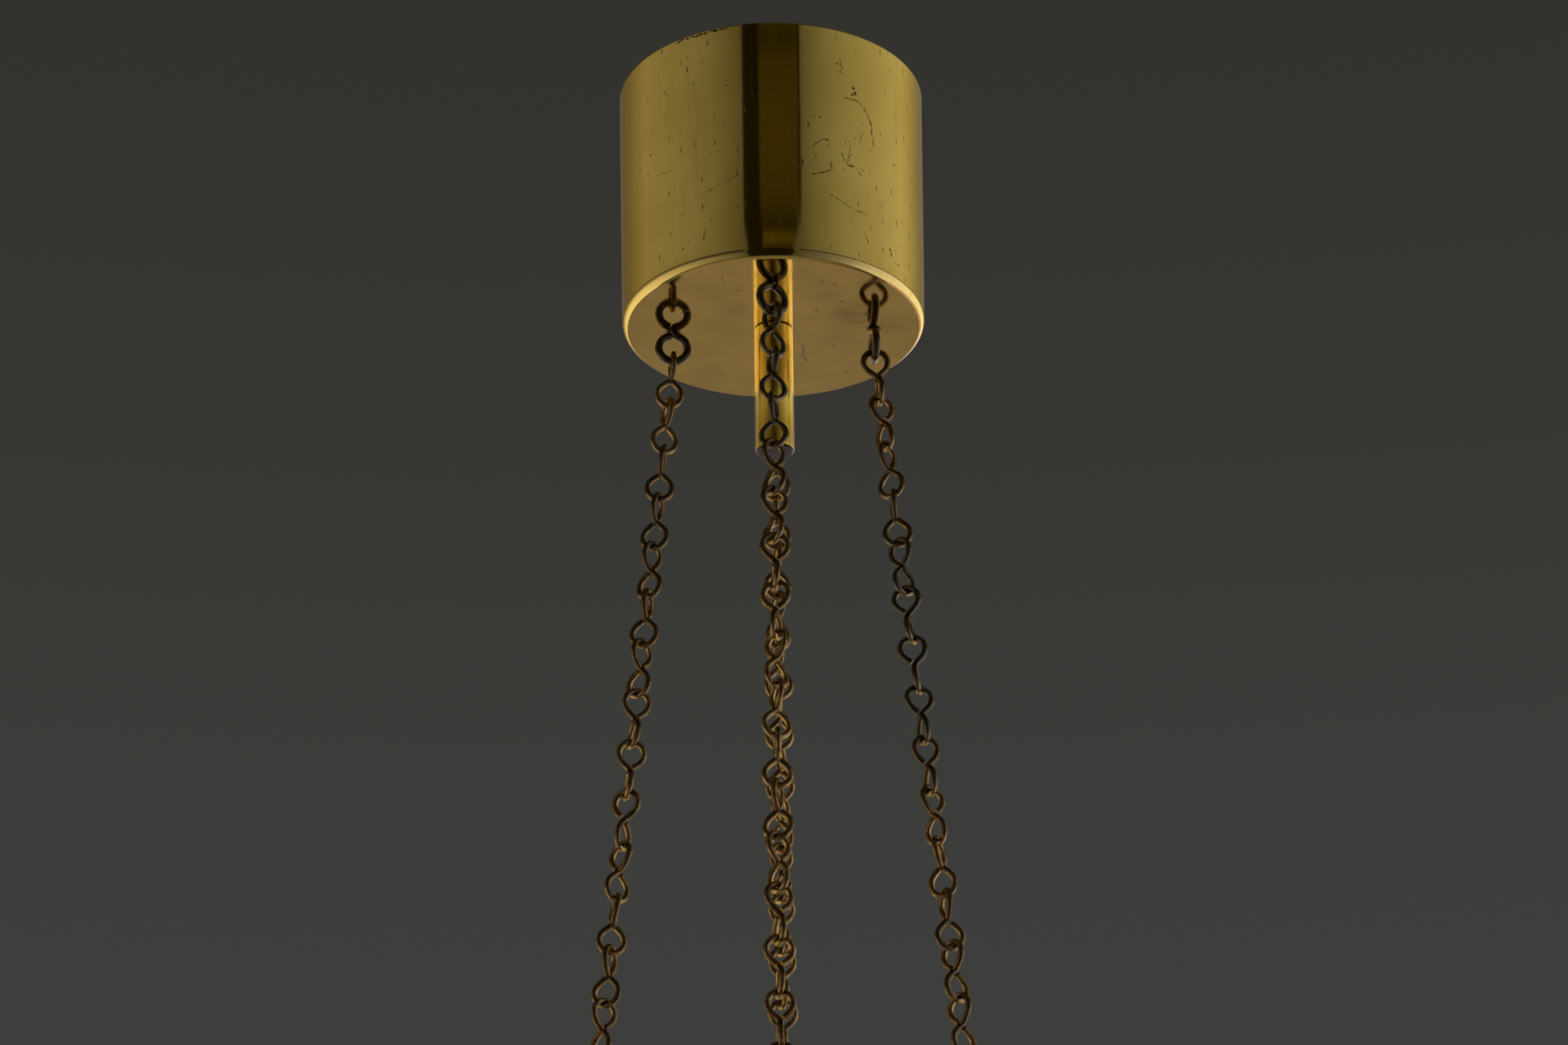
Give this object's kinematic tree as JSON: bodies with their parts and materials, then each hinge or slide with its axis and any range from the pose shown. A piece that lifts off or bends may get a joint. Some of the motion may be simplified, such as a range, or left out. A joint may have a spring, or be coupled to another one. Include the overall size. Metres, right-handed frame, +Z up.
{
  "type": "hanging candelabra",
  "caption": "Brass ceiling cup with a closed stem, from which jack chains spread down to a flat ring with candle cups and drip pans; the ring sways on its chains.",
  "frame": {"origin": "middle of the cup's open rim, in the ceiling plane", "axes": "+Z up, -Y towards the viewer of the picture, +X to the right"},
  "size_m": [0.192, 0.192, 0.4293],
  "materials": {
    "canopy_brass": "satin polished, lightly scratched",
    "stem_brass": "polished",
    "chain_patina": "dark brown patina with worn edges",
    "eye_patina": "brown patina",
    "ring_brass": "satin polished",
    "steel": "zinc plated"
  },
  "bodies": {
    "ceiling_cup": {"canopy": "canopy_brass", "stem_tube": "stem_brass", "hanging_eye": "steel", "hanging_rod": "steel", "inner_washer": "steel", "lock_nut": "steel", "left_canopy_eye": "eye_patina", "right_canopy_eye": "eye_patina", "front_canopy_eye": "eye_patina", "back_canopy_eye": "eye_patina", "left_canopy_eye_nut": "steel", "right_canopy_eye_nut": "steel", "front_canopy_eye_nut": "steel", "back_canopy_eye_nut": "steel"},
    "left_top_link": {"left_link_01": "chain_patina"},
    "left_chain": {"left_links_02_05": "chain_patina", "left_links_06_09": "chain_patina", "left_links_10_12": "chain_patina", "left_links_13_15": "chain_patina"},
    "left_last_link": {"left_link_16": "chain_patina"},
    "right_top_link": {"right_link_01": "chain_patina"},
    "right_chain": {"right_links_02_05": "chain_patina", "right_links_06_09": "chain_patina", "right_links_10_12": "chain_patina", "right_links_13_15": "chain_patina"},
    "right_last_link": {"right_link_16": "chain_patina"},
    "front_top_link": {"front_link_01": "chain_patina"},
    "front_chain": {"front_links_02_05": "chain_patina", "front_links_06_09": "chain_patina", "front_links_10_12": "chain_patina", "front_links_13_15": "chain_patina"},
    "front_last_link": {"front_link_16": "chain_patina"},
    "back_top_link": {"back_link_01": "chain_patina"},
    "back_chain": {"back_links_02_05": "chain_patina", "back_links_06_09": "chain_patina", "back_links_10_12": "chain_patina", "back_links_13_15": "chain_patina"},
    "back_last_link": {"back_link_16": "chain_patina"},
    "candle_ring": {"candle_ring": "ring_brass", "left_ring_eye": "eye_patina", "right_ring_eye": "eye_patina", "front_ring_eye": "eye_patina", "back_ring_eye": "eye_patina", "left_ring_eye_nut": "steel", "right_ring_eye_nut": "steel", "front_ring_eye_nut": "steel", "back_ring_eye_nut": "steel", "drip_pan_1": "ring_brass", "drip_pan_2": "ring_brass", "drip_pan_3": "ring_brass", "drip_pan_4": "ring_brass", "candle_cup_1": "ring_brass", "candle_cup_2": "ring_brass", "candle_cup_3": "ring_brass", "candle_cup_4": "ring_brass", "cup_screw_1": "steel", "cup_screw_2": "steel", "cup_screw_3": "steel", "cup_screw_4": "steel"}
  },
  "joints": [
    {"name": "sway_sideways", "type": "hinge", "parent": "ceiling_cup", "child": "left_top_link", "pos_m": [-0.03648, 0, -0.10663], "axis": [0, 1, 0], "range_deg": [-10, 10]},
    {"name": "sway_forward", "type": "hinge", "parent": "left_top_link", "child": "left_chain", "pos_m": [-0.03823, 0, -0.12519], "axis": [1, 0, 0], "range_deg": [-10, 10]},
    {"name": "left_last_link_follow", "type": "hinge", "parent": "left_chain", "child": "left_last_link", "pos_m": [-0.06331, 0, -0.39111], "axis": [1, 0, 0], "range_deg": [-7, 7]},
    {"name": "right_sway_sideways", "type": "hinge", "parent": "ceiling_cup", "child": "right_top_link", "pos_m": [0.03648, 0, -0.10663], "axis": [0, 1, 0], "range_deg": [-10, 10]},
    {"name": "right_sway_forward", "type": "hinge", "parent": "right_top_link", "child": "right_chain", "pos_m": [0.03823, 0, -0.12519], "axis": [1, 0, 0], "range_deg": [-10, 10]},
    {"name": "right_last_link_follow", "type": "hinge", "parent": "right_chain", "child": "right_last_link", "pos_m": [0.06331, 0, -0.39111], "axis": [1, 0, 0], "range_deg": [-7, 7]},
    {"name": "front_sway_sideways", "type": "hinge", "parent": "ceiling_cup", "child": "front_top_link", "pos_m": [0, -0.03648, -0.10663], "axis": [0, 1, 0], "range_deg": [-10, 10]},
    {"name": "front_sway_forward", "type": "hinge", "parent": "front_top_link", "child": "front_chain", "pos_m": [0, -0.03823, -0.12519], "axis": [1, 0, 0], "range_deg": [-10, 10]},
    {"name": "front_last_link_follow", "type": "hinge", "parent": "front_chain", "child": "front_last_link", "pos_m": [0, -0.06331, -0.39111], "axis": [1, 0, 0], "range_deg": [-7, 7]},
    {"name": "back_sway_sideways", "type": "hinge", "parent": "ceiling_cup", "child": "back_top_link", "pos_m": [0, 0.03648, -0.10663], "axis": [0, 1, 0], "range_deg": [-10, 10]},
    {"name": "back_sway_forward", "type": "hinge", "parent": "back_top_link", "child": "back_chain", "pos_m": [0, 0.03823, -0.12519], "axis": [1, 0, 0], "range_deg": [-10, 10]},
    {"name": "back_last_link_follow", "type": "hinge", "parent": "back_chain", "child": "back_last_link", "pos_m": [0, 0.06331, -0.39111], "axis": [1, 0, 0], "range_deg": [-7, 7]},
    {"name": "ring_levels_sideways", "type": "hinge", "parent": "left_last_link", "child": "candle_ring", "pos_m": [-0.06504, 0, -0.40943], "axis": [0, 1, 0], "range_deg": [-7, 7]}
  ],
  "couplings": [
    {"joint": "left_last_link_follow", "follows": "sway_forward", "ratio": -0.6039},
    {"joint": "right_sway_sideways", "follows": "sway_sideways", "ratio": 1},
    {"joint": "right_sway_forward", "follows": "sway_forward", "ratio": 1},
    {"joint": "right_last_link_follow", "follows": "sway_forward", "ratio": -0.6039},
    {"joint": "front_sway_sideways", "follows": "sway_sideways", "ratio": 1},
    {"joint": "front_sway_forward", "follows": "sway_forward", "ratio": 1},
    {"joint": "front_last_link_follow", "follows": "sway_forward", "ratio": -0.6039},
    {"joint": "back_sway_sideways", "follows": "sway_sideways", "ratio": 1},
    {"joint": "back_sway_forward", "follows": "sway_forward", "ratio": 1},
    {"joint": "back_last_link_follow", "follows": "sway_forward", "ratio": -0.6039},
    {"joint": "ring_levels_sideways", "follows": "sway_sideways", "ratio": -0.5609}
  ]
}
